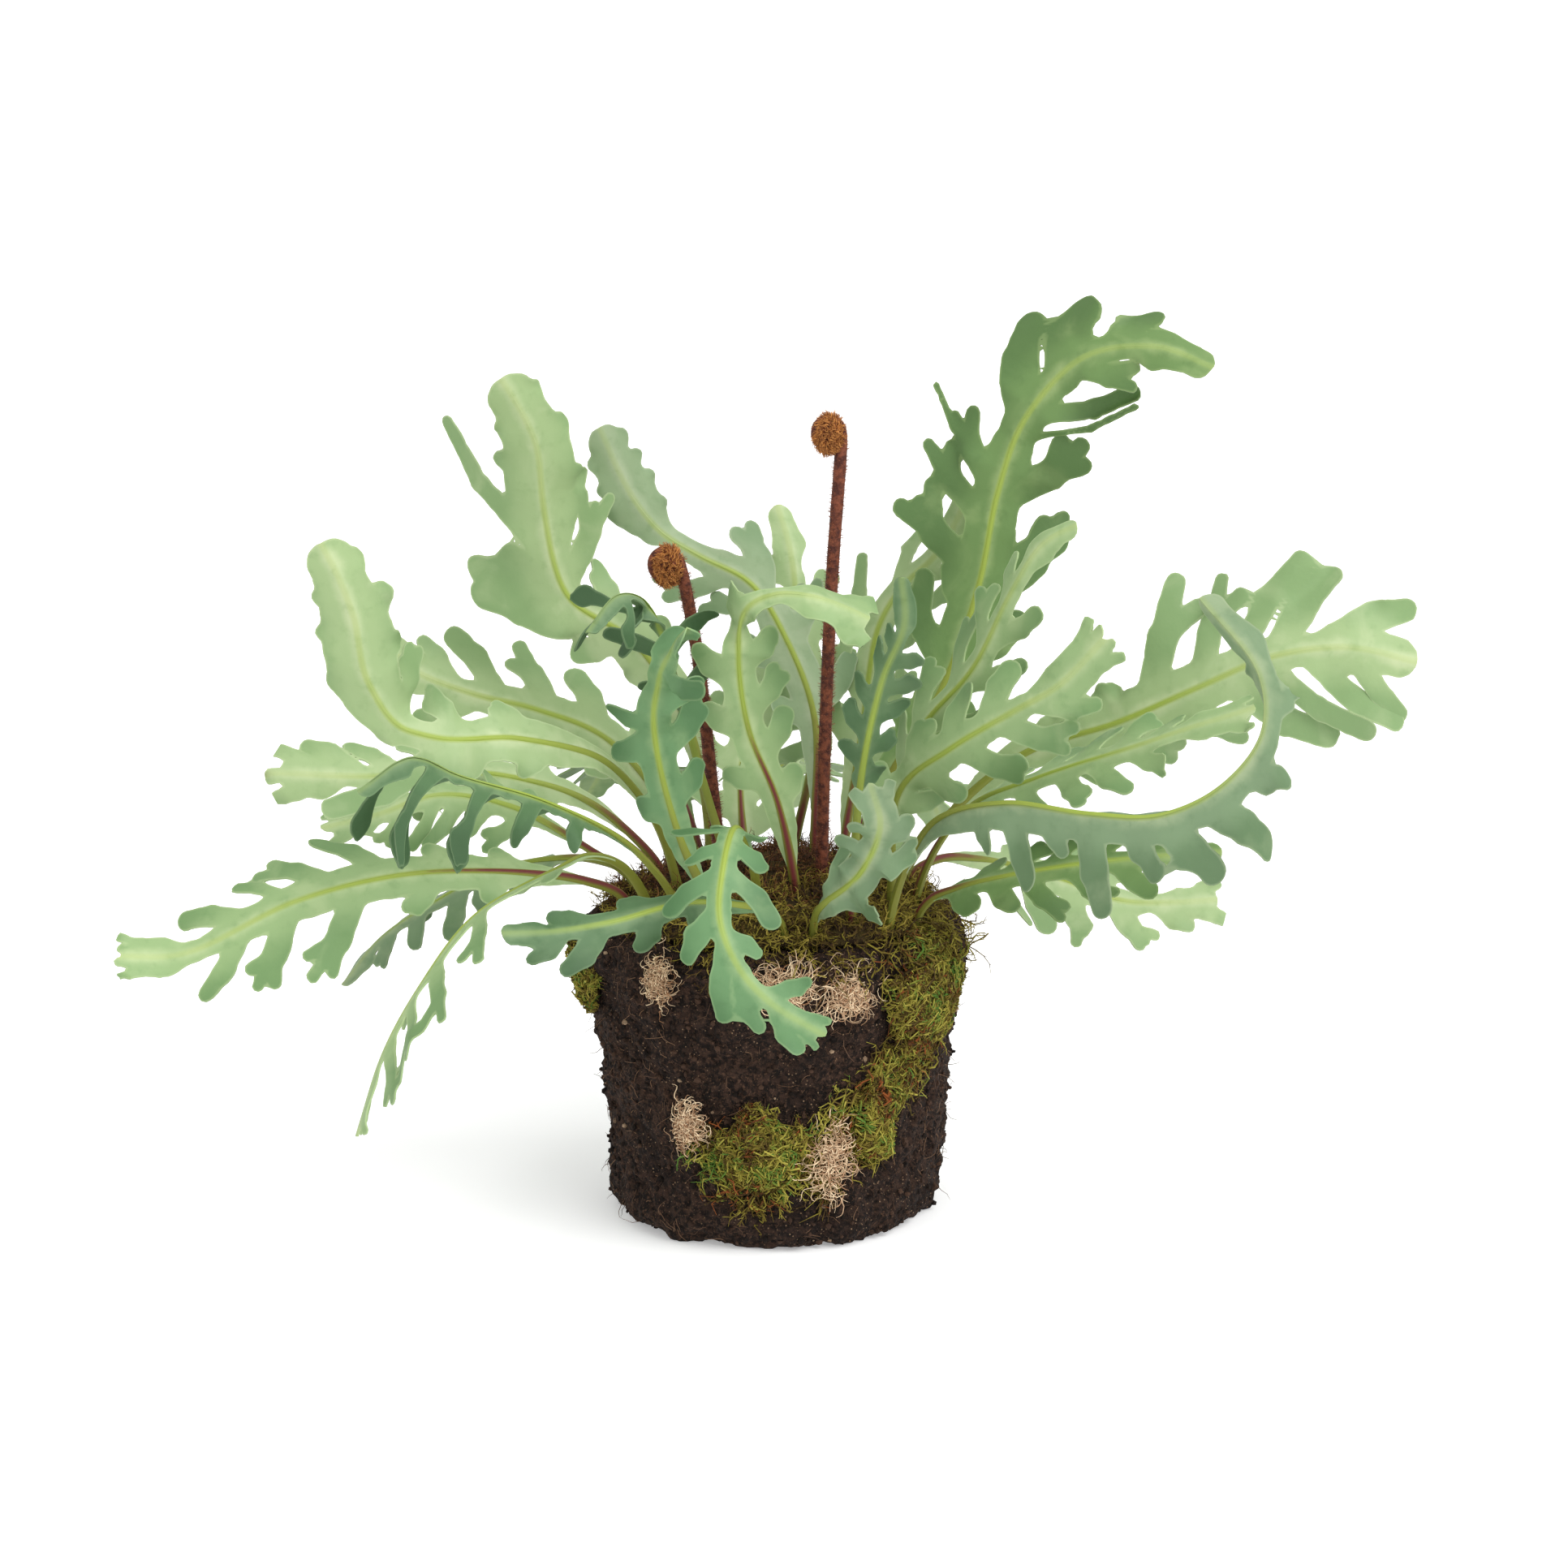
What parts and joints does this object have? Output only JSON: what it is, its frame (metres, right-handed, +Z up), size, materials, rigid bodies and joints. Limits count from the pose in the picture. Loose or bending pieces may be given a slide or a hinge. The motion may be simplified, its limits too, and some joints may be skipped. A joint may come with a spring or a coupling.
{
  "type": "potted fern",
  "caption": "Fern with long, deeply lobed pale green fronds and woolly brown fiddleheads, growing from a bare pot-shaped root ball patched with moss.",
  "frame": {"origin": "centre of the root ball's flat underside, on the ground", "axes": "+Z up, +X to the plant's right as seen from its front, which looks towards -Y; the spread of the fronds is widest along X"},
  "size_m": [0.3977, 0.2562, 0.2866],
  "materials": {
    "soil": "matte",
    "moss": "matte",
    "dry_fibre": "matte",
    "frond_green": "satin",
    "frond_blue_green": "satin",
    "fiddlehead_brown": "matte"
  },
  "bodies": {
    "root": {"crown_moss": "moss", "fibre_tuft_low_front": "dry_fibre", "fibre_tuft_low_left": "dry_fibre", "fibre_tuft_rim_front": "dry_fibre", "fibre_tuft_rim_left": "dry_fibre", "fibre_tuft_rim_right": "dry_fibre", "fiddlehead_short": "fiddlehead_brown", "fiddlehead_tall": "fiddlehead_brown", "frond_back_arched_left": "frond_green", "frond_back_centre_high": "frond_green", "frond_back_centre_short": "frond_green", "frond_back_right_upright": "frond_green", "frond_centre_left_nodding": "frond_blue_green", "frond_centre_upright": "frond_green", "frond_front_drooping": "frond_blue_green", "frond_front_left_low": "frond_blue_green", "frond_front_left_upright": "frond_blue_green", "frond_front_right_short": "frond_blue_green", "frond_left_back_low": "frond_green", "frond_left_back_pale": "frond_green", "frond_left_front_droop": "frond_green", "frond_left_hanging": "frond_green", "frond_left_level": "frond_green", "frond_left_long_low": "frond_green", "frond_left_tall": "frond_green", "frond_left_tongue": "frond_green", "frond_left_under": "frond_green", "frond_rear_left": "frond_green", "frond_rear_middle": "frond_green", "frond_rear_right": "frond_green", "frond_right_back_low": "frond_green", "frond_right_curling": "frond_blue_green", "frond_right_dark_short": "frond_blue_green", "frond_right_far": "frond_green", "frond_right_level": "frond_green", "frond_right_low_front": "frond_green", "frond_right_mid": "frond_green", "frond_right_narrow": "frond_green", "frond_right_tallest": "frond_green", "moss_drape_right_lower": "moss", "moss_drape_right_upper": "moss", "moss_patch_front": "moss", "moss_rim_left": "moss", "root_ball": "soil"}
  },
  "joints": []
}
